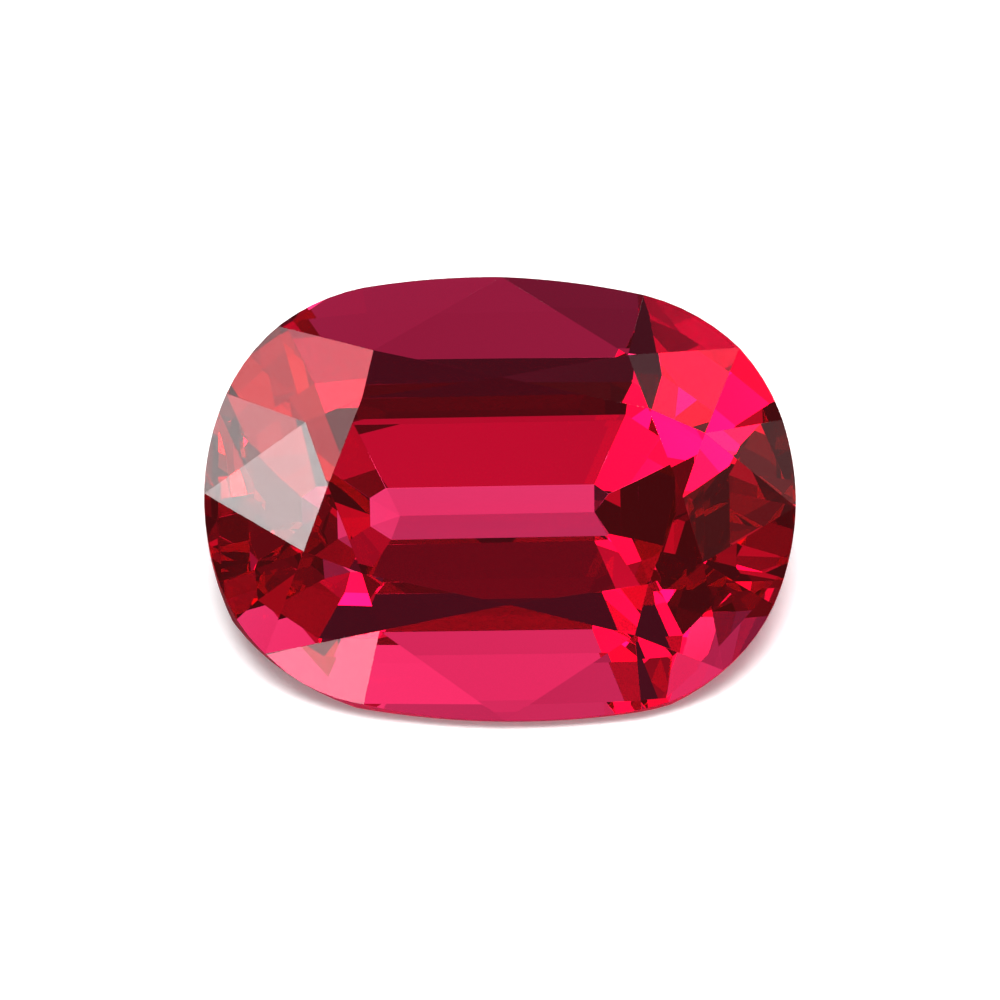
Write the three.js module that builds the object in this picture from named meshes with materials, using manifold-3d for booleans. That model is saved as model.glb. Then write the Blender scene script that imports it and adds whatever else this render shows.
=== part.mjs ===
// A loose cut gem: a cushion-shaped pink-red tourmaline, brilliant-cut above its
// girdle and step-cut below it, lying on one long facet of its pavilion.
// Millimetres and degrees. In the stone's own frame +X runs along its length,
// +Z is square to the table, and z = 0 is the upper edge of the girdle.

import * as THREE from 'three';
import { ConvexGeometry } from 'three/addons/geometries/ConvexGeometry.js';
import { mergeVertices } from 'three/addons/utils/BufferGeometryUtils.js';
import Module from 'manifold-3d';

const { degToRad } = THREE.MathUtils;

// Girdle outline: eight tangent arcs, turned a little against the crown and
// set a little to the back left of the stone's axis
const LENGTH = 12;
const WIDTH = 9.06;
const SIDE_RADIUS = 14.26;
const END_RADIUS = 5.2;
const CORNER_RADIUS = 3.775;
const OUTLINE_TURN = -1.35;
const OUTLINE_OFFSET = new THREE.Vector2(-0.063, 0.033);
const ARC_STEPS = 10;
const GIRDLE_THICKNESS = 0.19;

// Crown: an octagonal table, eight stars, eight kites and sixteen girdle
// facets. Four rows go from the back to the front left, and a half-turn about
// the stone's axis repeats them.
const CROWN_HEIGHT = 1.499;
const CROWN_ROWS = [
  { tableCorner: [-0.08, 2.32], kiteAzimuth: 89, starHeight: 0.76, girdleAngle: 90.5, breakAngle: 123.5 },
  { tableCorner: [-2.9, 1.885], kiteAzimuth: 134.5, starHeight: 0.8, girdleAngle: 142.3, breakAngle: 159 },
  { tableCorner: [-3.59, 0.09], kiteAzimuth: 178.2, starHeight: 0.82, girdleAngle: 179, breakAngle: 196.5 },
  { tableCorner: [-2.895, -1.7], kiteAzimuth: 228.4, starHeight: 0.75, girdleAngle: 213.3, breakAngle: 236 },
];
const BREAK_DROP = 0.04;

// Pavilion: four tiers of steps from the keel out to the girdle, eight facets
// to a tier. A row is one direction round the stone, with the reach of the
// three rings between its tiers: how far each lies from the keel's middle,
// square to the facet. The right end was ground to depths of its own.
const KEEL_MIDDLE = new THREE.Vector2(-0.078, 0.034);
const KEEL_TURN = 1.37;
const KEEL_LEFT = 1.952;
const KEEL_RIGHT = 2.002;
const KEEL_DEPTH = 5.153;
const RING_DEPTHS = [4.908, 3.53, 1.759];
const PAVILION = {
  front: { azimuth: -90, reaches: [0.505, 1.858, 3.5] },
  back: { azimuth: 90, reaches: [0.552, 1.867, 3.326] },
  right: { azimuth: 0, reaches: [2.885, 3.63, 5.713], depths: [4.4, 3.75, 0.928] },
  left: { azimuth: 180, reaches: [2.564, 3.991, 5.178] },
  backRight: { azimuth: 54.7, reaches: [1.609, 3.056, 4.358] },
  backLeft: { azimuth: 120.5, reaches: [1.608, 3.093, 4.828] },
  frontLeft: { azimuth: 235.9, reaches: [1.622, 3.239, 4.706] },
  frontRight: { azimuth: -44.5, reaches: [1.962, 3.449, 4.681] },
};
const REST_TIER = 2;

const BLOCK_SIZE = 24;
const BLOCK_BELOW_KEEL = 1;
const SAME_POINT = 1e-5;
const NEAREST_CORNERS = 0.003;

const wasm = await Module();
wasm.setup();

// The point at a distance along a bearing in the plane of the girdle.
function polar(azimuth, distance = 1) {
  return new THREE.Vector2(distance, 0).rotateAround(new THREE.Vector2(), degToRad(azimuth));
}

// The corner arc's centre: it touches the side arc and the end arc from inside.
function cornerCentre(sideCentre, endCentre) {
  const apart = endCentre.clone().sub(sideCentre);
  const distance = apart.length();
  const fromSide = SIDE_RADIUS - CORNER_RADIUS;
  const fromEnd = END_RADIUS - CORNER_RADIUS;
  const along = (fromSide ** 2 - fromEnd ** 2 + distance ** 2) / (2 * distance);
  const across = Math.sqrt(fromSide ** 2 - along ** 2);
  apart.normalize();
  return sideCentre.clone()
    .addScaledVector(apart, along)
    .addScaledVector(new THREE.Vector2(apart.y, -apart.x), across);
}

// Quarter by quarter: half an end arc, a corner arc and half a side arc.
function outlinePoints() {
  const sideCentre = new THREE.Vector2(0, WIDTH / 2 - SIDE_RADIUS);
  const endCentre = new THREE.Vector2(LENGTH / 2 - END_RADIUS, 0);
  const corner = cornerCentre(sideCentre, endCentre);
  const endBearing = corner.clone().sub(endCentre).angle();
  const sideBearing = corner.clone().sub(sideCentre).angle();
  const arcs = [
    new THREE.ArcCurve(endCentre.x, endCentre.y, END_RADIUS, 0, endBearing),
    new THREE.ArcCurve(corner.x, corner.y, CORNER_RADIUS, endBearing, sideBearing),
    new THREE.ArcCurve(sideCentre.x, sideCentre.y, SIDE_RADIUS, sideBearing, Math.PI / 2),
  ];
  const quarter = arcs.flatMap((arc, i) => arc.getPoints(ARC_STEPS).slice(i ? 1 : 0));
  const mirrored = quarter.map((p) => new THREE.Vector2(-p.x, p.y)).reverse();
  const half = [...quarter, ...mirrored.slice(1)];
  const otherHalf = half.map((p) => p.clone().negate());
  const turn = degToRad(OUTLINE_TURN);
  return [...half.slice(0, -1), ...otherHalf.slice(0, -1)]
    .map((p) => p.rotateAround(new THREE.Vector2(), turn).add(OUTLINE_OFFSET));
}

const outline = outlinePoints();

// Where a ray from the stone's axis leaves the outline.
function onOutline(angle, z) {
  const ray = polar(angle);
  for (const [i, a] of outline.entries()) {
    const b = outline[(i + 1) % outline.length];
    const crossA = ray.cross(a);
    const crossB = ray.cross(b);
    if (crossA <= 0 && crossB > 0) {
      const p = a.clone().lerp(b, crossA / (crossA - crossB));
      if (p.dot(ray) > 0) {
        return new THREE.Vector3(p.x, p.y, z);
      }
    }
  }
  throw new Error('the ray misses the outline');
}

// How far the outline reaches in a direction.
function outlineReach(direction) {
  return Math.max(...outline.map((p) => p.dot(direction)));
}

// A facet is a plane whose normal points out of the stone.
function facetThrough(a, b, c) {
  const facet = new THREE.Plane().setFromCoplanarPoints(a, b, c);
  return facet.constant > 0 ? facet.negate() : facet;
}

// A kite holds its table corner and its girdle point, and faces its azimuth.
function kiteFacet(corner, girdlePoint, azimuth) {
  const level = polar(azimuth + 90);
  const side = corner.clone().add(new THREE.Vector3(level.x, level.y, 0));
  return facetThrough(corner, girdlePoint, side);
}

// The point at height z on the line where two facets meet.
function meetAt(first, second, z) {
  const n = first.normal;
  const m = second.normal;
  const d = -first.constant - n.z * z;
  const e = -second.constant - m.z * z;
  const det = n.x * m.y - n.y * m.x;
  return new THREE.Vector3((d * m.y - e * n.y) / det, (n.x * e - m.x * d) / det, z);
}

function crownFacets() {
  const halfTurn = (row) => ({
    ...row,
    tableCorner: row.tableCorner.map((v) => -v),
    kiteAzimuth: row.kiteAzimuth + 180,
    girdleAngle: row.girdleAngle + 180,
    breakAngle: row.breakAngle + 180,
  });
  const rows = [...CROWN_ROWS, ...CROWN_ROWS.map(halfTurn)].map((row) => {
    const corner = new THREE.Vector3(...row.tableCorner, CROWN_HEIGHT);
    const girdlePoint = onOutline(row.girdleAngle, 0);
    return {
      ...row,
      corner,
      girdlePoint,
      breakPoint: onOutline(row.breakAngle, -BREAK_DROP),
      kite: kiteFacet(corner, girdlePoint, row.kiteAzimuth),
    };
  });
  return rows.flatMap((row, i) => {
    const next = rows[(i + 1) % rows.length];
    const starTip = meetAt(row.kite, next.kite, row.starHeight * CROWN_HEIGHT);
    return [
      row.kite,
      facetThrough(row.corner, starTip, next.corner),
      facetThrough(starTip, row.girdlePoint, row.breakPoint),
      facetThrough(starTip, row.breakPoint, next.girdlePoint),
    ];
  });
}

// A step facet faces its azimuth and holds the level edges of two rings.
function stepFacet(azimuth, inner, outer) {
  const out = polar(azimuth);
  const level = polar(azimuth + 90);
  const low = new THREE.Vector3(out.x * inner.reach, out.y * inner.reach, -inner.depth);
  const high = new THREE.Vector3(out.x * outer.reach, out.y * outer.reach, -outer.depth);
  const side = low.clone().add(new THREE.Vector3(level.x, level.y, 0));
  return facetThrough(low, high, side);
}

// The four facets of one direction, from the keel out.
function stepFacets({ azimuth, reaches, depths = RING_DEPTHS }) {
  const level = polar(azimuth).x;
  const out = polar(azimuth + KEEL_TURN);
  const offset = KEEL_MIDDLE.dot(out);
  const edges = [
    { reach: Math.max(KEEL_RIGHT * level, -KEEL_LEFT * level) + offset, depth: KEEL_DEPTH },
    ...reaches.map((reach, i) => ({ reach: reach + offset, depth: depths[i] })),
    { reach: outlineReach(out), depth: GIRDLE_THICKNESS },
  ];
  return edges.slice(1).map((outer, i) => stepFacet(azimuth + KEEL_TURN, edges[i], outer));
}

function toSolid(geometry) {
  const bare = new THREE.BufferGeometry()
    .setAttribute('position', geometry.getAttribute('position'));
  if (geometry.index) {
    bare.setIndex(geometry.index);
  }
  const merged = mergeVertices(bare, SAME_POINT);
  return new wasm.Manifold(new wasm.Mesh({
    numProp: 3,
    vertProperties: merged.attributes.position.array,
    triVerts: new Uint32Array(merged.index.array),
  }));
}

// The preform: the outline drawn out from below the keel up to the table.
function preform() {
  const bottom = -KEEL_DEPTH - BLOCK_BELOW_KEEL;
  const geometry = new THREE.ExtrudeGeometry(new THREE.Shape(outline), {
    depth: CROWN_HEIGHT - bottom,
    bevelEnabled: false,
  });
  return toSolid(geometry.translate(0, 0, bottom));
}

// Everything outside a facet, as a block whose inner face lies on it.
function waste(facet) {
  const block = new THREE.BoxGeometry(BLOCK_SIZE, BLOCK_SIZE, BLOCK_SIZE);
  block.translate(0, 0, BLOCK_SIZE / 2);
  const facing = new THREE.Quaternion().setFromUnitVectors(new THREE.Vector3(0, 0, 1), facet.normal);
  const foot = facet.coplanarPoint(new THREE.Vector3());
  block.applyQuaternion(facing).translate(foot.x, foot.y, foot.z);
  return toSolid(block);
}

// Each facet is ground flat in turn. The stone is convex, so its corners alone
// give its surface again, free of the slivers that the cuts leave where several
// facets meet.
function cutStone(facets) {
  const ground = facets.reduce((stone, facet) => stone.subtract(waste(facet)), preform());
  const { vertProperties } = ground.getMesh();
  const corners = [];
  for (let i = 0; i < vertProperties.length; i += 3) {
    const corner = new THREE.Vector3().fromArray(vertProperties, i);
    if (corners.every((kept) => kept.distanceTo(corner) > NEAREST_CORNERS)) {
      corners.push(corner);
    }
  }
  return new ConvexGeometry(corners);
}

const pavilion = Object.values(PAVILION).map(stepFacets);
const restFacet = stepFacets(PAVILION.front)[REST_TIER];

const stoneMaterial = new THREE.MeshStandardMaterial({
  color: 0xc41240,
  roughness: 0.02,
  metalness: 0,
  transparent: true,
  opacity: 0.85,
});
const stone = new THREE.Mesh(cutStone([...crownFacets(), ...pavilion.flat()]), stoneMaterial);
stone.name = 'cut_gem';

// Lying down: the rest facet faces the ground, and the origin is on the ground
// under the middle of the stone's box.
stone.quaternion.setFromUnitVectors(restFacet.normal, new THREE.Vector3(0, 0, -1));
stone.updateMatrixWorld();
const box = new THREE.Box3().setFromObject(stone, true);
const centre = box.getCenter(new THREE.Vector3());
stone.position.set(-centre.x, -centre.y, -box.min.z);

const part = new THREE.Group();
part.add(stone);

export default part;
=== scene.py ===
import math

import bmesh
import bpy
from mathutils import Matrix, Vector


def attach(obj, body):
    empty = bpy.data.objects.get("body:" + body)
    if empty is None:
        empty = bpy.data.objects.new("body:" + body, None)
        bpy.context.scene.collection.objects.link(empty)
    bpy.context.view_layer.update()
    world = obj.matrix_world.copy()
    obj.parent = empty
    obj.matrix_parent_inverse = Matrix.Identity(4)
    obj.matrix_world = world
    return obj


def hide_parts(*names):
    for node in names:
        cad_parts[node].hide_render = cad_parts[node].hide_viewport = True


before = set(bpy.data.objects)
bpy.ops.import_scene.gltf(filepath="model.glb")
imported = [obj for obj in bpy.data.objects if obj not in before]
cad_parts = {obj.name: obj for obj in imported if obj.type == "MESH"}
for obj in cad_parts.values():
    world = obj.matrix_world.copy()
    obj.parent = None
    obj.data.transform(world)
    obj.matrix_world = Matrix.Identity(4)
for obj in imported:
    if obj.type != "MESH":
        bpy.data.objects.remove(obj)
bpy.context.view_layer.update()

# The cut stone: one piece of pink-red tourmaline, ground flat and polished
# facet by facet on a lap. It lies on one long facet of its pavilion, with the
# table leaning to the front.
MM = 0.001
DOUBLES = 0.002 * MM
SAME_PLANE = math.radians(0.2)
LOOSE_MEET = 0.012 * MM
JUNCTION_WIDTH = 0.006 * MM
TABLE_NORMAL = Vector((0.0175, -0.7331, 0.6799)).normalized()
GIRDLE_LEAN = 0.05
BODY_TINT = (1.0, 0.6, 0.57, 1.0)
BODY_COLOUR = (1.0, 0.0, 0.56, 1.0)
BODY_DENSITY = 410
REFRACTIVE_INDEX = 1.63
PIT_SPACING = 0.4 * MM
PIT_RADIUS = 0.012 * MM
PIT_ROUGHNESS = 0.2
GIRDLE_ROUGHNESS = 0.6


def apply_modifier(piece, kind, **settings):
    """Adds one modifier to a piece and applies it."""
    bpy.ops.object.select_all(action="DESELECT")
    piece.select_set(True)
    bpy.context.view_layer.objects.active = piece
    modifier = piece.modifiers.new(kind.lower(), kind)
    for name, value in settings.items():
        setattr(modifier, name, value)
    bpy.ops.object.modifier_apply(modifier=modifier.name)


cad_stone = bpy.data.objects["cut_gem"]
bpy.ops.object.select_all(action="DESELECT")
cad_stone.select_set(True)
bpy.context.view_layer.objects.active = cad_stone
bpy.ops.object.duplicate()
stone = bpy.context.active_object
stone.name = "polished_stone"
bpy.ops.object.mode_set(mode="EDIT")
bpy.ops.mesh.select_mode(type="EDGE")
bpy.ops.mesh.select_all(action="SELECT")
bpy.ops.mesh.remove_doubles(threshold=DOUBLES)
bpy.ops.mesh.dissolve_limited(angle_limit=SAME_PLANE)
bpy.ops.mesh.remove_doubles(threshold=LOOSE_MEET)
bpy.ops.mesh.faces_shade_smooth()

# The girdle's narrow band is ground with a fine wheel but never polished. Every
# other facet is flat, and meets its neighbours in a junction a few microns wide.
shape = bmesh.from_edit_mesh(stone.data)
ground = shape.faces.layers.float.new("ground")
for facet in shape.faces:
    facet[ground] = float(abs(facet.normal.dot(TABLE_NORMAL)) < GIRDLE_LEAN)
for junction in shape.edges:
    junction.select_set(any(facet[ground] == 0 for facet in junction.link_faces))
bmesh.update_edit_mesh(stone.data)
bpy.ops.mesh.bevel(offset=JUNCTION_WIDTH, segments=2, affect="EDGES", clamp_overlap=True)


def in_junction(facet):
    """Tells the narrow faces of the junctions from the facets."""
    return facet.calc_area() < JUNCTION_WIDTH * facet.calc_perimeter()


# An edge is smooth inside the girdle or a junction, and sharp round a polished
# facet, so that each facet mirrors as one flat plane.
shape = bmesh.from_edit_mesh(stone.data)
ground = shape.faces.layers.float["ground"]
for edge in shape.edges:
    in_girdle = all(facet[ground] == 1 for facet in edge.link_faces)
    edge.smooth = in_girdle or all(in_junction(facet) for facet in edge.link_faces)
bmesh.update_edit_mesh(stone.data)
bpy.ops.object.mode_set(mode="OBJECT")
apply_modifier(stone, "WEIGHTED_NORMAL", mode="FACE_AREA", weight=100, keep_sharp=True)


def surface_marks():
    """A node group: sparse polishing pits, and the mask of the ground band."""
    group = bpy.data.node_groups.new("surface_marks", "ShaderNodeTree")
    group.interface.new_socket("Pit Spacing", in_out="INPUT", socket_type="NodeSocketFloat")
    group.interface.new_socket("Pit Radius", in_out="INPUT", socket_type="NodeSocketFloat")
    group.interface.new_socket("Pits", in_out="OUTPUT", socket_type="NodeSocketFloat")
    group.interface.new_socket("Ground", in_out="OUTPUT", socket_type="NodeSocketFloat")
    nodes = group.nodes
    links = group.links
    given = nodes.new("NodeGroupInput")
    result = nodes.new("NodeGroupOutput")
    place = nodes.new("ShaderNodeTexCoord")
    density = nodes.new("ShaderNodeMath")
    density.operation = "DIVIDE"
    density.inputs[0].default_value = 1.0
    links.new(given.outputs["Pit Spacing"], density.inputs[1])
    cells = nodes.new("ShaderNodeTexVoronoi")
    links.new(place.outputs["Object"], cells.inputs["Vector"])
    links.new(density.outputs["Value"], cells.inputs["Scale"])
    share = nodes.new("ShaderNodeMath")
    share.operation = "DIVIDE"
    links.new(given.outputs["Pit Radius"], share.inputs[0])
    links.new(given.outputs["Pit Spacing"], share.inputs[1])
    inside = nodes.new("ShaderNodeMapRange")
    inside.interpolation_type = "SMOOTHSTEP"
    links.new(cells.outputs["Distance"], inside.inputs["Value"])
    inside.inputs["From Min"].default_value = 0.0
    links.new(share.outputs["Value"], inside.inputs["From Max"])
    inside.inputs["To Min"].default_value = 1.0
    inside.inputs["To Max"].default_value = 0.0
    links.new(inside.outputs["Result"], result.inputs["Pits"])
    band = nodes.new("ShaderNodeAttribute")
    band.attribute_name = "ground"
    links.new(band.outputs["Fac"], result.inputs["Ground"])
    return group


polish = bpy.data.materials.new("polished_tourmaline")
polish.use_nodes = True
nodes = polish.node_tree.nodes
links = polish.node_tree.links
surface = nodes["Principled BSDF"]
surface.inputs["Base Color"].default_value = BODY_TINT
surface.inputs["IOR"].default_value = REFRACTIVE_INDEX
surface.inputs["Transmission Weight"].default_value = 1.0
marks = nodes.new("ShaderNodeGroup")
marks.node_tree = surface_marks()
marks.inputs["Pit Spacing"].default_value = PIT_SPACING
marks.inputs["Pit Radius"].default_value = PIT_RADIUS
band_roughness = nodes.new("ShaderNodeMath")
band_roughness.operation = "MULTIPLY"
band_roughness.inputs[1].default_value = GIRDLE_ROUGHNESS
wear = nodes.new("ShaderNodeMath")
wear.operation = "MULTIPLY_ADD"
wear.inputs[1].default_value = PIT_ROUGHNESS
links.new(marks.outputs["Ground"], band_roughness.inputs[0])
links.new(marks.outputs["Pits"], wear.inputs[0])
links.new(band_roughness.outputs["Value"], wear.inputs[2])
links.new(wear.outputs["Value"], surface.inputs["Roughness"])
body = nodes.new("ShaderNodeVolumeAbsorption")
body.inputs["Color"].default_value = BODY_COLOUR
body.inputs["Density"].default_value = BODY_DENSITY
links.new(body.outputs["Volume"], nodes["Material Output"].inputs["Volume"])

stone.data.materials.clear()
stone.data.materials.append(polish)
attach(stone, "root")
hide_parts("cut_gem")

# The floor: a wide sheet of matt white card under the stone, burnt out to plain white in the picture
# but for the stone's soft shadow. The card also glows faintly: painted light that lightens that shadow.
# The stone doesn't mirror it.
FLOOR_SIZE = 4.0
FLOOR_DROP = 0.02 * MM
CARD_WHITE = (0.9, 0.9, 0.9, 1.0)
FLOOR_PAINTED_GLOW = 0.2
bpy.ops.mesh.primitive_plane_add(size=FLOOR_SIZE, location=(0, 0, -FLOOR_DROP))
floor = bpy.context.active_object
floor.name = "floor"
card = bpy.data.materials.new("white_card_with_painted_glow")
card.use_nodes = True
paper = card.node_tree.nodes["Principled BSDF"]
paper.inputs["Base Color"].default_value = CARD_WHITE
paper.inputs["Roughness"].default_value = 0.9
paper.inputs["Specular IOR Level"].default_value = 0.1
# Painted light: the card glows, which lightens the stone's shadow on it.
paper.inputs["Emission Color"].default_value = (1.0, 1.0, 1.0, 1.0)
paper.inputs["Emission Strength"].default_value = FLOOR_PAINTED_GLOW
floor.data.materials.append(card)
floor.visible_glossy = False
floor.visible_transmission = False

# The studio: a dim room with a white backdrop, and soft-edged boxes on all
# sides of the stone. Those below the level of the floor shine only through the
# stone, and aren't mirrored on its outside.
bpy.context.scene.view_settings.view_transform = "Standard"
ROOM_BRIGHTNESS = 0.055
LIGHT_DISTANCE = 2.0
SQUARE_TO_TABLE = Vector((0, 0, 1)).rotation_difference(TABLE_NORMAL).to_matrix()
room = bpy.data.worlds.new("studio")
room.use_nodes = True
nodes = room.node_tree.nodes
links = room.node_tree.links
seen_direct = nodes.new("ShaderNodeLightPath")
brightness = nodes.new("ShaderNodeMath")
brightness.operation = "MULTIPLY_ADD"
brightness.inputs[1].default_value = 1 - ROOM_BRIGHTNESS
brightness.inputs[2].default_value = ROOM_BRIGHTNESS
links.new(seen_direct.outputs["Is Camera Ray"], brightness.inputs[0])
links.new(brightness.outputs["Value"], nodes["Background"].inputs["Strength"])
nodes["Background"].inputs["Color"].default_value = (1.0, 1.0, 1.0, 1.0)
bpy.context.scene.world = room


def toward(azimuth, elevation):
    """The direction that is so many degrees round from the front and up from level."""
    a = math.radians(azimuth)
    e = math.radians(elevation)
    return Vector((math.sin(a) * math.cos(e), -math.cos(a) * math.cos(e), math.sin(e)))


def across(angle):
    """The length that takes up an angle in degrees, seen from the stone."""
    return 2 * LIGHT_DISTANCE * math.tan(math.radians(angle / 2))


def soften_edges(light, softness):
    """Makes a light fade out towards its edges, over a share of its half width."""
    light.data.use_nodes = True
    nodes = light.data.node_tree.nodes
    links = light.data.node_tree.links
    place = nodes.new("ShaderNodeNewGeometry")
    split = nodes.new("ShaderNodeSeparateXYZ")
    links.new(place.outputs["Parametric"], split.inputs["Vector"])
    both = nodes.new("ShaderNodeMath")
    both.operation = "MULTIPLY"
    for i, axis in enumerate("XY"):
        centred = nodes.new("ShaderNodeMath")
        centred.operation = "SUBTRACT"
        centred.inputs[1].default_value = 0.5
        size = nodes.new("ShaderNodeMath")
        size.operation = "ABSOLUTE"
        fall = nodes.new("ShaderNodeMapRange")
        fall.interpolation_type = "SMOOTHSTEP"
        fall.inputs["From Min"].default_value = 0.5
        fall.inputs["From Max"].default_value = 0.5 * (1 - softness)
        fall.inputs["To Min"].default_value = 0.0
        fall.inputs["To Max"].default_value = 1.0
        links.new(split.outputs[axis], centred.inputs[0])
        links.new(centred.outputs["Value"], size.inputs[0])
        links.new(size.outputs["Value"], fall.inputs["Value"])
        links.new(fall.outputs["Result"], both.inputs[i])
    links.new(both.outputs["Value"], nodes["Emission"].inputs["Strength"])


def softbox(name, azimuth, elevation, width, height, softness, brightness):
    """A light that faces the stone, its place and size in degrees against the table's plane."""
    out = toward(azimuth, elevation)
    right = toward(azimuth + 90, 0)
    facing = SQUARE_TO_TABLE @ Matrix((right, out.cross(right), out)).transposed()
    bpy.ops.object.light_add(type="AREA", location=SQUARE_TO_TABLE @ out * LIGHT_DISTANCE)
    light = bpy.context.active_object
    light.name = name
    light.rotation_euler = facing.to_euler()
    light.data.shape = "RECTANGLE"
    light.data.size = across(width)
    light.data.size_y = across(height)
    light.data.energy = brightness * light.data.size * light.data.size_y * math.pi
    soften_edges(light, softness)
    light.visible_camera = False
    light.visible_diffuse = False
    light.visible_glossy = light.location.z > 0
    return light


softbox("right_rear_wall", azimuth=143, elevation=-12, width=85, height=30, softness=0.3, brightness=1)
softbox("wall_below", azimuth=125, elevation=-70, width=85, height=70, softness=1, brightness=1)
softbox("left_wall", azimuth=-108, elevation=32, width=42, height=54, softness=0.3, brightness=2)
softbox("left_strip", azimuth=-120, elevation=32, width=45, height=12, softness=0.2, brightness=5.5)
softbox("left_rear_box", azimuth=-125, elevation=20, width=40, height=25, softness=0.2, brightness=2)
softbox("left_rear_low", azimuth=-130, elevation=-25, width=55, height=75, softness=0.9, brightness=0.8)
softbox("left_below", azimuth=-85, elevation=-60, width=35, height=30, softness=0.1, brightness=2)
softbox("rear_low", azimuth=-175, elevation=-35, width=30, height=50, softness=0.5, brightness=0.6)
softbox("right_rear_fill", azimuth=130, elevation=30, width=65, height=40, softness=0.2, brightness=0.4)
softbox("right_rear_box", azimuth=147, elevation=59, width=14, height=33, softness=0.6, brightness=7)
softbox("front_fill", azimuth=10, elevation=-10, width=30, height=40, softness=0.6, brightness=0.3)
softbox("front_low", azimuth=25, elevation=-50, width=35, height=75, softness=1, brightness=4.5)
softbox("front_left_strip", azimuth=-30, elevation=13, width=60, height=13, softness=0.3, brightness=3)
softbox("front_left_low", azimuth=-25, elevation=-45, width=55, height=30, softness=0.6, brightness=5)
softbox("overhead_strip", azimuth=135, elevation=82, width=6, height=27, softness=0.35, brightness=0.45)
softbox("overhead_fill", azimuth=30, elevation=75, width=40, height=35, softness=0.15, brightness=0.07)

# The small card is only mirrored, on the lower left of the crown, and the key
# lights only the floor, where the stone's soft shadow comes from.
small_card = softbox("front_left_card", -29, 15, width=18, height=16, softness=0.3, brightness=3.2)
small_card.visible_glossy = True
small_card.visible_transmission = False
key = softbox("key", azimuth=-168, elevation=79, width=30, height=28, softness=0.9, brightness=80)
key.visible_diffuse = True
key.visible_glossy = False
key.visible_transmission = False

# The camera: a long macro lens, square to the table but for a small tilt. The
# bounces let light cross the stone many times before it leaves.
AIM = Vector((-0.002, -0.49, 3.738)) * MM
CAMERA_DISTANCE = 800 * MM
VIEW_WIDTH = 20.27 * MM
CAMERA_AZIMUTH = 0.7
CAMERA_ELEVATION = 35.73
CAMERA_ROLL = 0.15
SENSOR_WIDTH = 36
INNER_BOUNCES = 24
MIRRORED_BOUNCES = 12
away = toward(-CAMERA_AZIMUTH, CAMERA_ELEVATION)
bpy.ops.object.camera_add(location=AIM + away * CAMERA_DISTANCE)
camera = bpy.context.active_object
camera.name = "camera"
level = away.to_track_quat("Z", "Y").to_matrix()
camera.rotation_euler = (level @ Matrix.Rotation(math.radians(CAMERA_ROLL), 3, "Z")).to_euler()
camera.data.sensor_width = SENSOR_WIDTH
camera.data.lens = SENSOR_WIDTH * CAMERA_DISTANCE / VIEW_WIDTH
camera.data.clip_start = 0.01
camera.data.clip_end = 20
bpy.context.scene.camera = camera
cycles = bpy.context.scene.cycles
cycles.max_bounces = INNER_BOUNCES
cycles.transmission_bounces = INNER_BOUNCES
cycles.glossy_bounces = MIRRORED_BOUNCES
cycles.sample_clamp_indirect = 0.0
cycles.sampling_pattern = "TABULATED_SOBOL"
